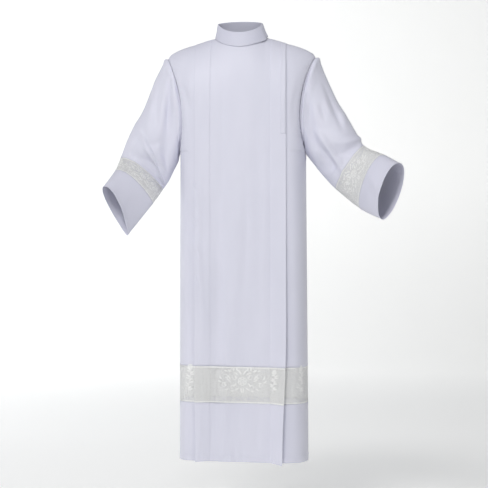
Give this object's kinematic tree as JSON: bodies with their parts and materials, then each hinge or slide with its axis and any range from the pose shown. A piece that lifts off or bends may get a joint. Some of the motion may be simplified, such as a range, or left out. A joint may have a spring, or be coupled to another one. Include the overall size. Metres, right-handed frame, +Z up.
{
  "type": "alb robe",
  "caption": "Floor-length white vestment worn over other clothes, with box pleats, a fold-over collar and lace insertions above the hem and round the sleeves",
  "frame": {"origin": "At the base of the wearer's neck, level with the neck seam, where the shoulders hold the robe up", "axes": "+Z up along the body, -Y out of the front, +X towards the wearer's left"},
  "size_m": [0.9904, 0.3983, 1.4969],
  "materials": {
    "white_cloth": "smooth white woven cloth with a soft satin sheen",
    "white_lace": "white see-through lace on a net ground"
  },
  "bodies": {
    "root": {"front": "white_cloth", "back": "white_cloth", "zip_fly": "white_cloth", "collar": "white_cloth", "skirt_lace_front": "white_lace", "skirt_lace_back": "white_lace", "hem_border_front": "white_cloth", "hem_border_back": "white_cloth", "sleeve_right": "white_cloth", "sleeve_left": "white_cloth", "sleeve_lace_right_front": "white_lace", "sleeve_lace_right_back": "white_lace", "sleeve_lace_left_front": "white_lace", "sleeve_lace_left_back": "white_lace", "cuff_border_right": "white_cloth", "cuff_border_left": "white_cloth"}
  },
  "joints": []
}
